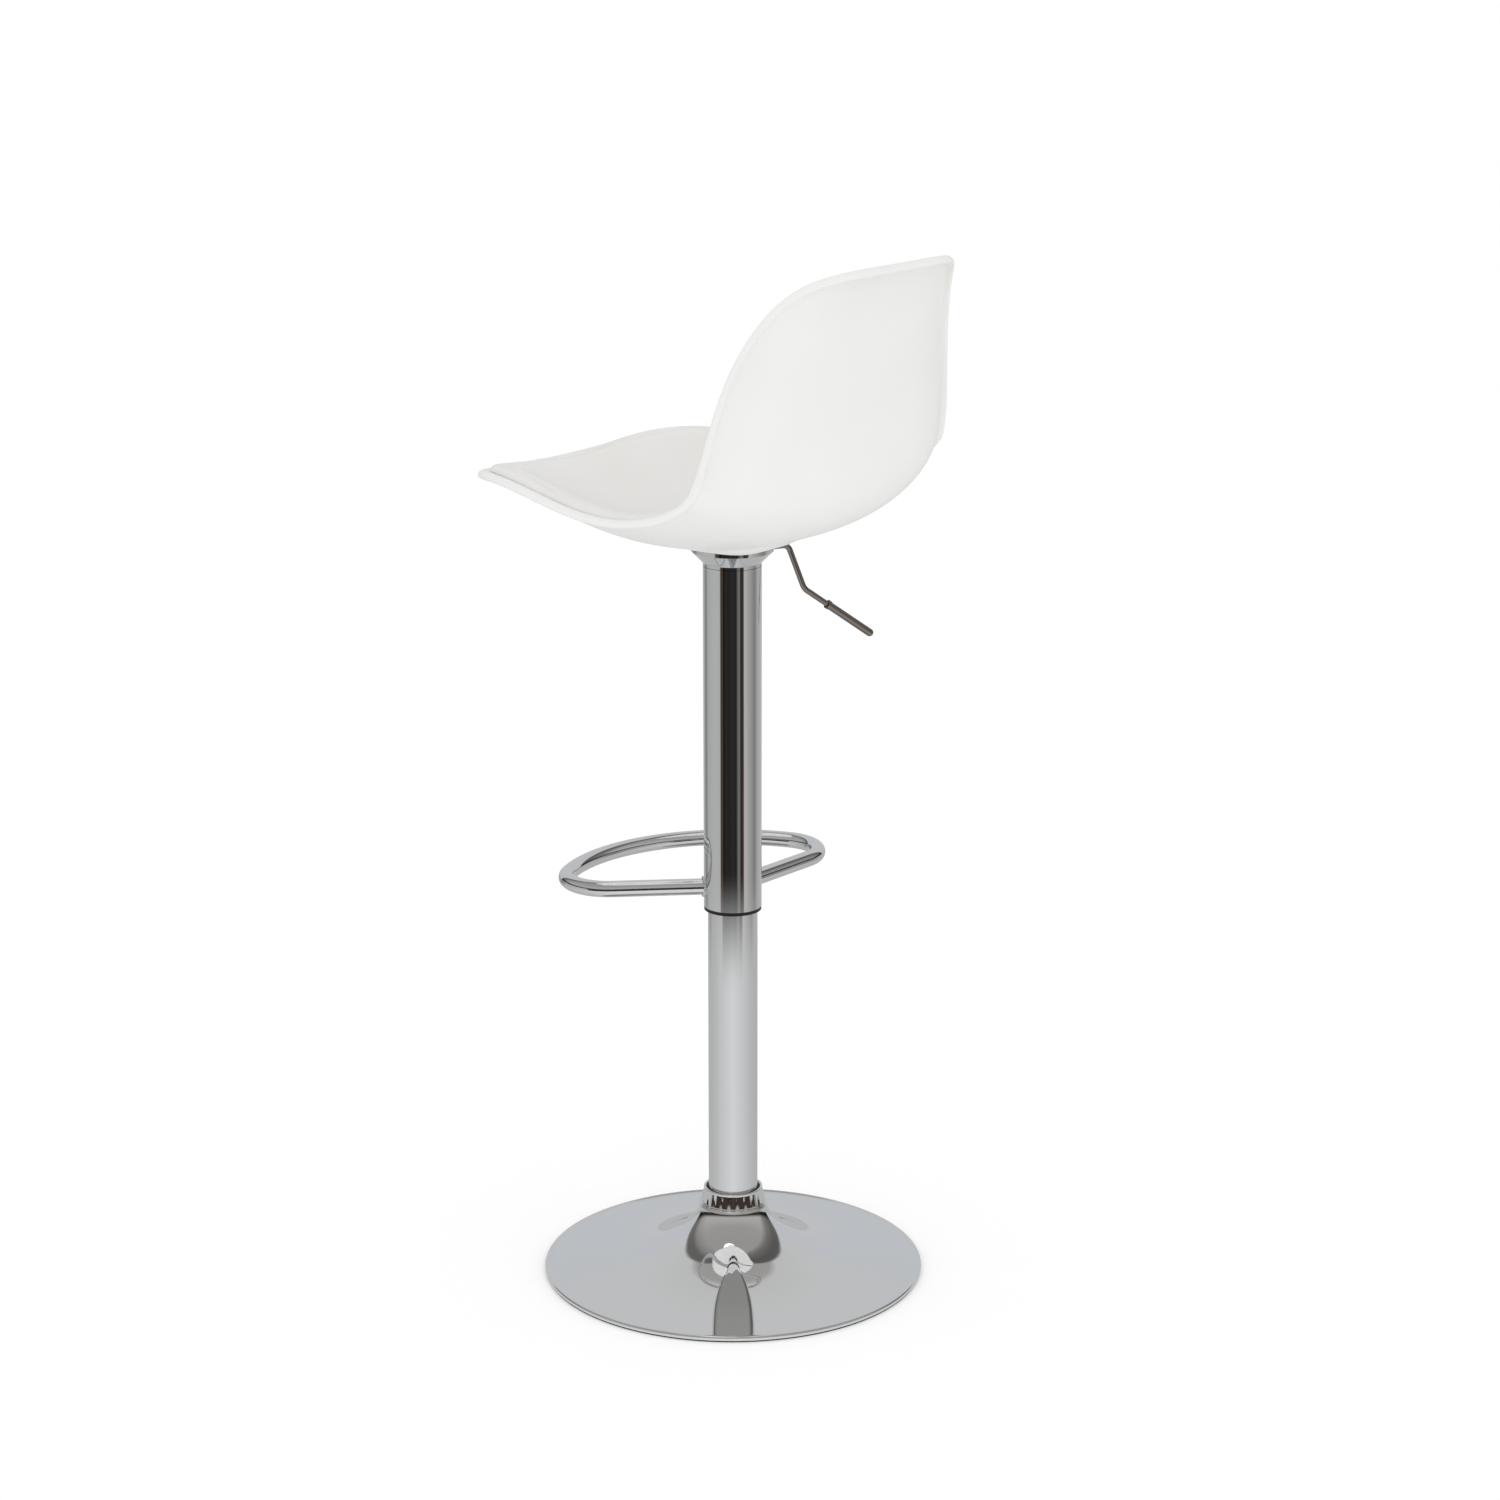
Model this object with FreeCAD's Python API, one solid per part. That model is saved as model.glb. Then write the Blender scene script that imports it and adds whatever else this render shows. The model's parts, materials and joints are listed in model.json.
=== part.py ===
import FreeCAD, Part
import math
import os
from FreeCAD import Vector

# Adjustable swivel stool: trumpet base, stand tube, gas spring, swivelling seat and footrest.
# Millimetres. Origin on the floor under the column axis, +Z up. The seat faces -Y and the
# sitter's left hand is on +X. The model stands at full height: every joint is at zero.

# ---- driving dimensions ----
baseRadius = 200.0
baseSheet = 1.5
baseRimHeight = 6.0
baseRimBead = 2.2
neckHeight = 76.0
neckRadius = 33.3
floorPlateThickness = 1.4
floorPlateHole = 20.0
weightRadius = 120.0
weightThickness = 4.5
rubberHeight = 1.6
rubberWidth = 14.0

standRadius = 25.8
standWall = 1.6
socketWall = 5.0
socketHeight = 34.0
bearingFloorHeight = 22.0
bearingFloorThickness = 4.0

collarTopRadius = 31.5
collarBottomRadius = 36.4
collarHeight = 21.0
collarOverlap = 6.0
collarLip = 1.2
collarBoreGap = 1.8
collarDimples = 24
collarDimpleRadius = 5.0
collarDimpleDepth = 0.7
collarDimpleMargin = 3.5
sealHeight = 5.0
sealDrop = 2.0

# everything above the stand tube hangs from the seat plate, so its height sets the stool's
seatPlateZ = 782.5
seatPlateThickness = 2.5
leverDrop = 6.0
cylinderDrop = 16.5
sleeveDrop = 20.5
sleeveLength = 360.0
sleeveOverStand = 98.0
footrestAboveEdge = 20.5

rodRadius = 5.0
rodBelowFloor = 7.0
clipThickness = 1.5
clipGroove = 1.0
clipWidth = 4.0
pistonHeight = 14.0
pistonInset = 28.0
pistonSealHeight = 2.0
pistonSealDepth = 2.5
cylinderRadius = 14.0
cylinderWall = 1.5
cylinderLength = 366.0
cylinderTaper = 0.6
taperLength = 28.0
glandInset = 3.0
glandLength = 14.0
rodSealLength = 4.0
valveBodyLength = 56.0
valvePinRadius = 2.5
valvePinReach = 30.0
valvePinTravel = 4.0

ballRadius = 1.5
ballPitch = 8.6
ballCount = 10
raceThickness = 2.0
raceRadius = 12.0
bumpStopHeight = 14.0
bumpStopRadius = 12.0

sleeveRadius = 30.0
sleeveWall = 1.5
bushFlange = 3.6
bushSpigot = 24.0
topBushLength = 14.0
standBushLength = 30.0
standBushFlange = 4.0

footrestReach = 178.0
footrestTube = 8.5
footrestWall = 1.5
footrestCorner = 45.0
footrestHalfAngle = 67.5
footrestTurn = 245.0
weldBead = 2.0

hubRadius = 20.0
hubLength = 40.0
hubChamber = 12.0
retainerSheet = 2.0
retainerGroove = 1.0
retainerWidth = 5.0
cupRimRadius = 42.0
cupSheet = 1.4
cupCollar = 3.0
cupFlareAngle = 45.0
screwPitch = 29.0
screwRadius = 3.0
screwHeadRadius = 5.5
screwHeadHeight = 2.0
screwHeadSeat = 1.4
screwLength = 10.5
nutRadius = 5.5
nutHeight = 4.5

leverTurn = 155.0
leverRadius = 3.0
leverPivotReach = 17.0
leverPinRadius = 1.5
leverPinLength = 15.0
leverSlotWidth = 7.0
leverSlotDepth = 2.0
gripRadius = 4.1
gripLength = 66.0
gripCap = 3.0
gripCollar = 0.7
# reach from the axis and height over the pivot, with a bend radius at each inner point
leverPath = [(-3.0, 0.0), (64.0, 0.0), (83.0, -47.5), (164.0, -104.5)]
leverBends = [9.0, 16.0]

# the seat is a dish drawn on a rounded square: (distance back from the axis, height over the
# seat plate) along its middle, then half its width and how far its wings rise, front to top
spine = [(-233, 66), (-160, 35), (-56, 7.5), (60, 12), (161, 69), (173, 201), (208, 301)]
halfWidth = [189, 195, 205, 203, 177]
wingRise = [17, 57, 55, 65, 4]
wingPower = 2.3
frontSquareness = 5.0
topSquareness = 3.5
shellThickness = 4.0
seatPadRadius = 44.0
cushionThickness = 14.0
cushionEdge = 5.0
cushionInset = 0.06

# ---- clearances ----
runFit = 0.1
bearingGap = 0.03
movingGap = 0.4
weldGap = 0.2
bushGap = 0.6
cushionGap = 0.6
slotGap = 0.5

# ---- heights that follow ----
leverZ = seatPlateZ - leverDrop
plateTopZ = seatPlateZ + seatPlateThickness
cylinderTop = seatPlateZ - cylinderDrop
cylinderBottom = cylinderTop - cylinderLength
sleeveTop = seatPlateZ - sleeveDrop
sleeveBottom = sleeveTop - sleeveLength
standTop = sleeveBottom + sleeveOverStand
footrestHeight = sleeveBottom + footrestAboveEdge
pistonBottom = cylinderBottom + pistonInset

up = Vector(0, 0, 1)
parts = {}


def cylinder(radius, low, high, x=0.0, y=0.0):
    return Part.makeCylinder(radius, high - low, Vector(x, y, low))


def ring(inner, outer, low, high):
    return cylinder(outer, low, high).cut(cylinder(inner, low - 1, high + 1))


def turned(points):
    """Solid of revolution of a closed outline of (radius, height) points."""
    corners = [Vector(r, 0, z) for r, z in points]
    wire = Part.makePolygon(corners + [corners[0]])
    return Part.Face(wire).revolve(Vector(0, 0, 0), up, 360)


def radial(angle, reach, z=0.0):
    turn = math.radians(angle)
    return Vector(reach * math.cos(turn), reach * math.sin(turn), z)


def joined(shapes):
    whole = shapes[0]
    for shape in shapes[1:]:
        whole = whole.fuse(shape)
    return whole.removeSplitter()


# ---- base ----
def baseProfile(drop):
    """Upper face of the trumpet from rim to neck, or the face that lies drop under it."""
    slope = [(baseRadius - 7.5, 4.8), (150.0, 9.2), (115.0, 15.2), (85.0, 25.0), (65.0, 35.8)]
    neck = [(51.0, 46.0), (41.0, 57.0), (35.4, 67.0), (neckRadius, neckHeight)]
    curve = Part.BSplineCurve()
    curve.interpolate([Vector(r, 0, z) for r, z in slope + neck])
    if drop == 0:
        return curve
    steps = 24
    low = []
    for i in range(steps + 1):
        t = curve.FirstParameter + (curve.LastParameter - curve.FirstParameter) * i / steps
        along = curve.tangent(t)[0]
        low.append(curve.value(t) + Vector(along.z, 0, -along.x) * -drop)
    low[-1] = Vector(neckRadius - drop, 0, neckHeight)
    under = Part.BSplineCurve()
    under.interpolate(low)
    return under


def baseShell():
    top = baseProfile(0)
    under = baseProfile(baseSheet)
    rimFoot = rubberHeight
    start = top.StartPoint
    inner = under.StartPoint
    bead = baseRadius - baseRimBead
    edges = [
        top.toShape(),
        Part.makeLine(top.EndPoint, under.EndPoint),
        under.toShape(),
        Part.makeLine(inner, Vector(baseRadius - baseSheet, 0, inner.z)),
        Part.makeLine(Vector(baseRadius - baseSheet, 0, inner.z), Vector(baseRadius - baseSheet, 0, rimFoot)),
        Part.makeLine(Vector(baseRadius - baseSheet, 0, rimFoot), Vector(baseRadius, 0, rimFoot)),
        Part.makeLine(Vector(baseRadius, 0, rimFoot), Vector(baseRadius, 0, baseRimHeight - baseRimBead)),
        Part.Arc(
            Vector(baseRadius, 0, baseRimHeight - baseRimBead),
            Vector(bead + baseRimBead * math.sin(math.pi / 4), 0, baseRimHeight - baseRimBead * 0.293),
            Vector(bead, 0, baseRimHeight)).toShape(),
        Part.Arc(
            Vector(bead, 0, baseRimHeight),
            Vector((bead + start.x) / 2 - 1.2, 0, start.z + 0.25),
            start).toShape(),
    ]
    wire = Part.Wire(Part.__sortEdges__(edges))
    return Part.Face(wire).revolve(Vector(0, 0, 0), up, 360)


def neckCollar():
    low = neckHeight - collarOverlap
    high = low + collarHeight
    skirt = neckRadius + 2 * bushGap
    bore = standRadius + collarBoreGap
    body = turned([
        (skirt, low), (collarBottomRadius - collarLip, low), (collarBottomRadius, low + collarLip),
        (collarTopRadius + collarLip, high - collarLip), (collarTopRadius, high), (bore, high),
        (bore, neckHeight), (skirt, neckHeight)])
    reach = (collarTopRadius + collarBottomRadius) / 2 + collarDimpleRadius - collarDimpleDepth
    for i in range(collarDimples):
        turn = 360.0 * i / collarDimples
        foot = radial(turn, reach, low + collarDimpleMargin)
        lean = radial(turn, collarTopRadius - collarBottomRadius, collarHeight)
        body = body.cut(Part.makeCylinder(collarDimpleRadius, collarHeight - 2 * collarDimpleMargin, foot, lean))
    return body


plateTop = rubberHeight + floorPlateThickness
standBottom = plateTop + weightThickness
standBore = standRadius - standWall
bearingTop = standBottom + bearingFloorHeight + bearingFloorThickness
ballCentre = bearingTop + raceThickness + ballRadius + bearingGap
raceTop = ballCentre + ballRadius + bearingGap + raceThickness

parts["base_shell"] = baseShell()
parts["base_floor_plate"] = ring(floorPlateHole, baseRadius - baseSheet - weldGap, rubberHeight, plateTop)
parts["base_weight"] = cylinder(weightRadius, plateTop, standBottom)
parts["base_rubber_ring"] = ring(baseRadius - rubberWidth, baseRadius - baseSheet + movingGap, 0.0, rubberHeight)
parts["stand_tube"] = ring(standBore, standRadius, standBottom, standTop)
parts["stand_socket"] = ring(standRadius, standRadius + socketWall, standBottom, standBottom + socketHeight)
parts["bearing_floor"] = ring(rodRadius + runFit, standBore, bearingTop - bearingFloorThickness, bearingTop)
parts["thrust_race_lower"] = ring(rodRadius + runFit, raceRadius, bearingTop, bearingTop + raceThickness)
balls = []
for i in range(ballCount):
    balls.append(Part.makeSphere(ballRadius, radial(360.0 * i / ballCount, ballPitch, ballCentre)))
parts["thrust_balls"] = Part.makeCompound(balls)
parts["stand_top_bush"] = joined([
    ring(cylinderRadius + runFit, standBore, standTop - standBushLength, standTop),
    ring(cylinderRadius + runFit, sleeveRadius - sleeveWall - movingGap, standTop, standTop + standBushFlange)])
parts["neck_collar"] = neckCollar()
sealTop = neckHeight - collarOverlap + collarHeight - sealDrop
parts["neck_seal_ring"] = ring(standRadius, standRadius + collarBoreGap, sealTop - sealHeight, sealTop)

# ---- piston rod, which turns on the thrust bearing ----
clipTop = bearingTop - bearingFloorThickness - movingGap
rodFoot = clipTop - rodBelowFloor
rod = cylinder(rodRadius, rodFoot, pistonBottom)
clip = ring(rodRadius - clipGroove, rodRadius + clipWidth, clipTop - clipThickness, clipTop)
parts["piston_rod"] = rod.cut(clip)
parts["rod_clip"] = clip
parts["thrust_race_upper"] = ring(rodRadius, raceRadius, raceTop - raceThickness, raceTop)
parts["bump_stop"] = ring(rodRadius, bumpStopRadius, raceTop, raceTop + bumpStopHeight)
cylinderBore = cylinderRadius - cylinderWall
sealLow = pistonBottom + (pistonHeight - pistonSealHeight) / 2
seal = ring(cylinderBore - pistonSealDepth, cylinderBore - runFit, sealLow, sealLow + pistonSealHeight)
parts["piston"] = cylinder(cylinderBore - movingGap, pistonBottom, pistonBottom + pistonHeight).cut(seal)
parts["piston_seal"] = seal

# ---- gas cylinder, hub, cup and seat plate ----
taperLow = cylinderTop - taperLength
taperTopRadius = cylinderRadius - cylinderTaper
cylinderOutside = joined([
    cylinder(cylinderRadius, cylinderBottom, taperLow),
    Part.makeCone(cylinderRadius, taperTopRadius, cylinderTop - taperLow, Vector(0, 0, taperLow))])
valveLow = cylinderTop - valveBodyLength
valveRadius = taperTopRadius - cylinderWall
parts["gas_cylinder"] = cylinderOutside.cut(
    cylinder(cylinderBore, cylinderBottom - 1, valveLow)).cut(cylinder(valveRadius, valveLow - 1, cylinderTop + 1))
glandLow = cylinderBottom + glandInset
glandTop = glandLow + glandLength
parts["cylinder_gland"] = ring(rodRadius + runFit, cylinderBore, glandLow, glandTop)
parts["cylinder_rod_seal"] = ring(rodRadius + runFit, cylinderBore, glandTop, glandTop + rodSealLength)
pinTop = leverZ - leverRadius - bearingGap
pinBottom = cylinderTop - valvePinReach
parts["valve_body"] = cylinder(valveRadius, valveLow, cylinderTop).cut(
    cylinder(valvePinRadius + runFit, pinBottom - valvePinTravel, cylinderTop + 1))
parts["valve_pin"] = cylinder(valvePinRadius, pinBottom, pinTop)

hubLow = seatPlateZ - hubLength
topBushTop = sleeveTop - bushGap
topBushLow = topBushTop - topBushLength
retainerTop = topBushLow - weldGap
slotLow = leverZ - leverRadius - leverSlotDepth
slotSize = 2 * cupRimRadius
slot = Part.makeBox(slotSize, leverSlotWidth, slotSize, Vector(0, -leverSlotWidth / 2, slotLow))
slot.rotate(Vector(0, 0, 0), up, leverTurn)
hub = cylinder(hubRadius, hubLow, seatPlateZ)
hub = hub.cut(cylinderOutside).cut(cylinder(hubChamber, cylinderTop - 1, seatPlateZ + 1))
retainer = ring(hubRadius - retainerGroove, hubRadius + retainerWidth, retainerTop - retainerSheet, retainerTop)
leverPin = Part.makeCylinder(
    leverPinRadius, leverPinLength, radial(leverTurn, leverPivotReach, leverZ), radial(leverTurn + 90, 1.0))
leverPin.translate(radial(leverTurn + 90, -leverPinLength / 2))
parts["seat_hub"] = hub.cut(retainer).cut(slot).cut(leverPin)
parts["sleeve_retainer"] = retainer
parts["lever_pivot_pin"] = leverPin

cupLow = sleeveTop + movingGap
flareLow = cupLow + cupCollar
flareHigh = flareLow + (cupRimRadius - sleeveRadius) / math.tan(math.radians(cupFlareAngle))
sheetRise = cupSheet * math.tan(math.radians(cupFlareAngle) / 2)
cup = turned([
    (sleeveRadius - cupSheet, cupLow), (sleeveRadius, cupLow), (sleeveRadius, flareLow),
    (cupRimRadius, flareHigh), (cupRimRadius, seatPlateZ), (cupRimRadius - cupSheet, seatPlateZ),
    (cupRimRadius - cupSheet, flareHigh + sheetRise), (sleeveRadius - cupSheet, flareLow + sheetRise)])
parts["seat_cup"] = cup.cut(slot)
screwAngles = [leverTurn + 45.0 + 90.0 * i for i in range(4)]
headLow = plateTopZ + screwHeadSeat
plate = cylinder(cupRimRadius, seatPlateZ, plateTopZ)
screws = []
nuts = []
holes = []
for angle in screwAngles:
    spot = radial(angle, screwPitch)
    shank = cylinder(screwRadius, headLow - screwLength, headLow, spot.x, spot.y)
    head = cylinder(screwHeadRadius, headLow, headLow + screwHeadHeight, spot.x, spot.y)
    nut = cylinder(nutRadius, seatPlateZ - nutHeight, seatPlateZ, spot.x, spot.y)
    holes.append(cylinder(screwRadius + runFit, seatPlateZ, headLow, spot.x, spot.y))
    holes.append(cylinder(screwHeadRadius + slotGap, headLow, headLow + 2 * shellThickness, spot.x, spot.y))
    screws.append(joined([shank, head]))
    nuts.append(nut.cut(shank))
    plate = plate.cut(cylinder(screwRadius + runFit, seatPlateZ - 1, plateTopZ + 1, spot.x, spot.y))
parts["seat_plate"] = plate
parts["plate_screws"] = Part.makeCompound(screws)
parts["weld_nuts"] = Part.makeCompound(nuts)


# ---- seat shell and cushion ----
def lawCurve(values):
    """Smooth curve through values that are evenly spaced over 0 to 1."""
    count = len(values) - 1
    curve = Part.BSplineCurve()
    steps = [i / count for i in range(count + 1)]
    curve.interpolate(Points=[Vector(*value) for value in values], Parameters=steps)
    return curve


spineCurve = lawCurve([(0, back, plateTopZ + height) for back, height in spine])
wingCurve = lawCurve([(w, r, 0) for w, r in zip(halfWidth, wingRise)])


def roundedSquare(a, b):
    """Place in the dish's outline of a point of a square, as shares of its half width and length."""
    squareness = frontSquareness + (topSquareness - frontSquareness) * (b + 1.0) / 2.0
    trim = 2.0 / (squareness + 2.0)
    return a * math.sqrt(1.0 - trim * abs(b) ** squareness), b * math.sqrt(1.0 - trim * abs(a) ** squareness)


def dishPoint(across, along):
    """Point of the dish: across from -1 to 1, along from -1 at the front edge to 1 at the top."""
    t = (along + 1.0) / 2.0
    centre = spineCurve.value(t)
    tangent = spineCurve.tangent(t)[0]
    wing = wingCurve.value(t)
    rise = wing.y * abs(across) ** wingPower
    return Vector(across * wing.x, centre.y - tangent.z * rise, centre.z + tangent.y * rise)


def dishNormal(across, along):
    step = 0.01
    along = min(max(along, step - 1.0), 1.0 - step)
    acrossWay = dishPoint(across + step, along).sub(dishPoint(across - step, along))
    alongWay = dishPoint(across, along + step).sub(dishPoint(across, along - step))
    return acrossWay.cross(alongWay).normalize()


def dishSheet(lift, reach, acrossCount=21, alongCount=31):
    """Surface at lift(a, b) over the dish, out to reach of its outline."""
    rows = []
    for i in range(acrossCount):
        row = []
        a = -1.0 + 2.0 * i / (acrossCount - 1)
        for j in range(alongCount):
            b = -1.0 + 2.0 * j / (alongCount - 1)
            across, along = [reach * share for share in roundedSquare(a, b)]
            row.append(dishPoint(across, along) + dishNormal(across, along) * lift(a, b))
        rows.append(row)
    sheet = Part.BSplineSurface()
    sheet.interpolate(rows)
    return sheet


def closedPad(lower, upper):
    """Solid between two sheets over the same square, closed by ruled faces round the edge."""
    faces = [lower.toShape(), upper.toShape()]
    for end in (0.0, 1.0):
        faces.append(Part.makeRuledSurface(lower.uIso(end).toShape(), upper.uIso(end).toShape()))
        faces.append(Part.makeRuledSurface(lower.vIso(end).toShape(), upper.vIso(end).toShape()))
    shell = Part.makeShell(faces)
    shell.sewShape()
    solid = Part.makeSolid(Part.Shell(shell.Faces))
    if solid.Volume < 0:
        solid.reverse()
    return solid


def edgeFade(a, b):
    """One over most of the pad, falling to nothing at its edge."""
    return (1.0 - a ** 8) * (1.0 - b ** 8)


shellUnder = dishSheet(lambda a, b: -shellThickness, 1.0)
shellOver = dishSheet(lambda a, b: 0.0, 1.0)
shellSolid = closedPad(shellUnder, shellOver)
boss = cylinder(seatPadRadius, plateTopZ, plateTopZ + shellThickness - cushionGap)
plateRoom = cylinder(seatPadRadius + shellThickness, seatPlateZ - seatPadRadius, plateTopZ)
shellSolid = shellSolid.fuse(boss).cut(plateRoom)
for hole in holes:
    shellSolid = shellSolid.cut(hole)
parts["seat_shell"] = shellSolid
cushionReach = 1.0 - cushionInset
cushionUnder = dishSheet(lambda a, b: cushionGap, cushionReach)
cushionOver = dishSheet(
    lambda a, b: cushionGap + cushionEdge + (cushionThickness - cushionEdge) * edgeFade(a, b), cushionReach)
parts["seat_cushion"] = closedPad(cushionUnder, cushionOver)

# ---- sleeve and footrest ----
sleeveBore = sleeveRadius - sleeveWall
parts["sleeve_tube"] = ring(sleeveBore, sleeveRadius, sleeveBottom, sleeveTop)
parts["sleeve_top_bush"] = ring(hubRadius + runFit, sleeveBore, topBushLow, topBushTop)
parts["sleeve_bottom_bush"] = joined([
    ring(standRadius + runFit, sleeveRadius - weldGap, sleeveBottom - bushFlange, sleeveBottom),
    ring(standRadius + runFit, sleeveBore, sleeveBottom, sleeveBottom + bushSpigot)])


def footrestWire():
    """Centre line: out along one bar, round the arc and back along the other bar."""
    centreReach = footrestReach - footrestCorner
    lean = math.degrees(math.asin(footrestCorner / centreReach))
    barReach = math.sqrt(centreReach ** 2 - footrestCorner ** 2)
    edges = []
    corners = {}
    for side in (-1, 1):
        bar = footrestTurn + side * footrestHalfAngle
        turn = footrestTurn + side * (footrestHalfAngle - lean)
        hub = radial(turn, centreReach, footrestHeight)
        barEnd = radial(bar, barReach, footrestHeight)
        arcEnd = radial(turn, footrestReach, footrestHeight)
        chord = (barEnd + arcEnd) * 0.5 - hub
        middle = hub + chord.normalize() * footrestCorner
        corners[side] = (barEnd, middle, arcEnd)
        edges.append(Part.makeLine(radial(bar, sleeveRadius - 2 * sleeveWall, footrestHeight), barEnd))
        edges.append(Part.Arc(*corners[side]).toShape())
    front = radial(footrestTurn, footrestReach, footrestHeight)
    edges.append(Part.Arc(corners[-1][2], front, corners[1][2]).toShape())
    return Part.Wire(Part.__sortEdges__(edges))


def tubeAlong(wire, radius):
    start = wire.OrderedVertexes[0].Point
    first = wire.OrderedEdges[0]
    way = first.tangentAt(first.FirstParameter)
    if first.valueAt(first.FirstParameter).distanceToPoint(start) > 0.01:
        way = first.tangentAt(first.LastParameter) * -1
    profile = Part.Wire(Part.makeCircle(radius, start, way))
    return wire.makePipeShell([profile], True, False)


loopWire = footrestWire()
sleeveCore = cylinder(sleeveRadius, footrestHeight - 3 * footrestTube, footrestHeight + 3 * footrestTube)
loop = tubeAlong(loopWire, footrestTube).cut(tubeAlong(loopWire, footrestTube - footrestWall))
parts["footrest_loop"] = loop.cut(sleeveCore)
beads = []
for side in (-1, 1):
    bar = footrestTurn + side * footrestHalfAngle
    foot = radial(bar, sleeveRadius + weldBead / 2, footrestHeight)
    bead = Part.makeTorus(footrestTube + weldBead / 4, weldBead, foot, radial(bar, 1.0))
    barBody = Part.makeCylinder(footrestTube, 2 * sleeveRadius, radial(bar, 0, footrestHeight), radial(bar, 1.0))
    beads.append(bead.cut(barBody).cut(sleeveCore))
parts["footrest_welds"] = Part.makeCompound(beads)


# ---- height lever ----
def roundedPath(points, bends):
    """Straight runs through points, with an arc of the given radius at each inner point."""
    edges = []
    last = points[0]
    for i, bend in enumerate(bends):
        before = (points[i] - points[i + 1]).normalize()
        after = (points[i + 2] - points[i + 1]).normalize()
        half = before.getAngle(after) / 2
        cut = bend / math.tan(half)
        start = points[i + 1] + before * cut
        end = points[i + 1] + after * cut
        centre = points[i + 1] + (before + after).normalize() * (bend / math.sin(half))
        middle = centre - (before + after).normalize() * bend
        edges.append(Part.makeLine(last, start))
        edges.append(Part.Arc(start, middle, end).toShape())
        last = end
    edges.append(Part.makeLine(last, points[-1]))
    return Part.Wire(edges)


leverPoints = [radial(leverTurn, reach, leverZ + rise) for reach, rise in leverPath]
leverWire = roundedPath(leverPoints, leverBends)
leverEnd = leverPoints[-1]
gripWay = (leverEnd - leverPoints[-2]).normalize()
gripStart = leverEnd - gripWay * gripLength
pinWay = radial(leverTurn + 90, 1.0)
pinHoleStart = radial(leverTurn, leverPivotReach, leverZ) - pinWay * 2 * leverRadius
pinHole = Part.makeCylinder(leverPinRadius + runFit / 2, 4 * leverRadius, pinHoleStart, pinWay)
gripCore = Part.makeCylinder(leverRadius, gripLength - gripCap, gripStart, gripWay)
leverRod = tubeAlong(leverWire, leverRadius)
leverTip = Part.makeCylinder(gripRadius, 2 * gripCap, leverEnd - gripWay * gripCap, gripWay)
parts["lever_rod"] = leverRod.cut(leverTip).cut(pinHole)
grip = joined([
    Part.makeCylinder(gripRadius, gripLength - gripRadius, gripStart, gripWay),
    Part.makeSphere(gripRadius, leverEnd - gripWay * gripRadius),
    Part.makeCylinder(gripRadius + gripCollar, gripCap, gripStart, gripWay)])
parts["lever_grip"] = grip.cut(gripCore)

os.makedirs("parts", exist_ok=True)
for name, shape in parts.items():
    solids = len(shape.Solids)
    print(f"{name:22s} solids {solids}  volume {shape.Volume / 1000:9.2f} cm3  valid {shape.isValid()}")
    shape.exportStep(f"parts/{name}.step")
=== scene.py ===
import json
import math
import bpy
import numpy as np
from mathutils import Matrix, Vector


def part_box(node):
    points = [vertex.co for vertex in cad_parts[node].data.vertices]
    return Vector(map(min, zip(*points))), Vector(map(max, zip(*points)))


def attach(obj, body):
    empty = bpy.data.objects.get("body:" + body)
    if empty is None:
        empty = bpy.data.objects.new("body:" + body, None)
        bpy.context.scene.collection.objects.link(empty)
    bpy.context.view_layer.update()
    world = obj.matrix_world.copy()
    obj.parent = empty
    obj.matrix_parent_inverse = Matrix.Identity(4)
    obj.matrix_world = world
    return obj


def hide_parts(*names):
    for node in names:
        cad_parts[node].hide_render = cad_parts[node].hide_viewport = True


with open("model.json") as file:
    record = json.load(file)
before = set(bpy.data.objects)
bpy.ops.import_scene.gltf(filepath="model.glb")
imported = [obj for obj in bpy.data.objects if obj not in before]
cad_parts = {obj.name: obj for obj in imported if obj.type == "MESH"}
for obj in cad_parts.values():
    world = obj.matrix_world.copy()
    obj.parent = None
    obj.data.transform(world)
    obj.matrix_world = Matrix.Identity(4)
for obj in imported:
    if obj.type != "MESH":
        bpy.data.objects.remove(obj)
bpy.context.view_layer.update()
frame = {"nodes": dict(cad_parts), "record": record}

nodes = frame["nodes"]
mm = 0.001
print("frame loaded")


def toLinear(hexColour):
    # sRGB hex to the linear values that shaders take
    parts = [int(hexColour[i:i + 2], 16) / 255 for i in (1, 3, 5)]
    return [p / 12.92 if p <= 0.04045 else ((p + 0.055) / 1.055) ** 2.4 for p in parts] + [1.0]


def setStops(ramp, stops):
    # stops: place and linear colour, where one number stands for a grey
    while len(ramp.elements) < len(stops):
        ramp.elements.new(0.5)
    for element, (place, colour) in zip(ramp.elements, stops):
        shade = (colour,) * 3 if isinstance(colour, float) else colour[:3]
        element.position = place
        element.color = (*shade, 1.0)


def addNode(tree, kind, settings=None, links=None):
    # settings: attribute, input or "stops" to value; links: input to another node's output
    node = tree.nodes.new(kind)
    for name, value in (settings or {}).items():
        if name == "stops":
            setStops(node.color_ramp, value)
        elif isinstance(name, int) or name in node.inputs:
            node.inputs[name].default_value = value
        else:
            setattr(node, name, value)
    for name, output in (links or {}).items():
        tree.links.new(output, node.inputs[name])
    return node


def emptyMaterial(name):
    material = bpy.data.materials.new(name)
    material.use_nodes = True
    material.node_tree.nodes.clear()
    return material, material.node_tree


def newMaterial(name, shader):
    material, tree = emptyMaterial(name)
    surface = addNode(tree, "ShaderNodeBsdfPrincipled", shader)
    addNode(tree, "ShaderNodeOutputMaterial", None, {"Surface": surface.outputs["BSDF"]})
    return material, tree, surface


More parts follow.
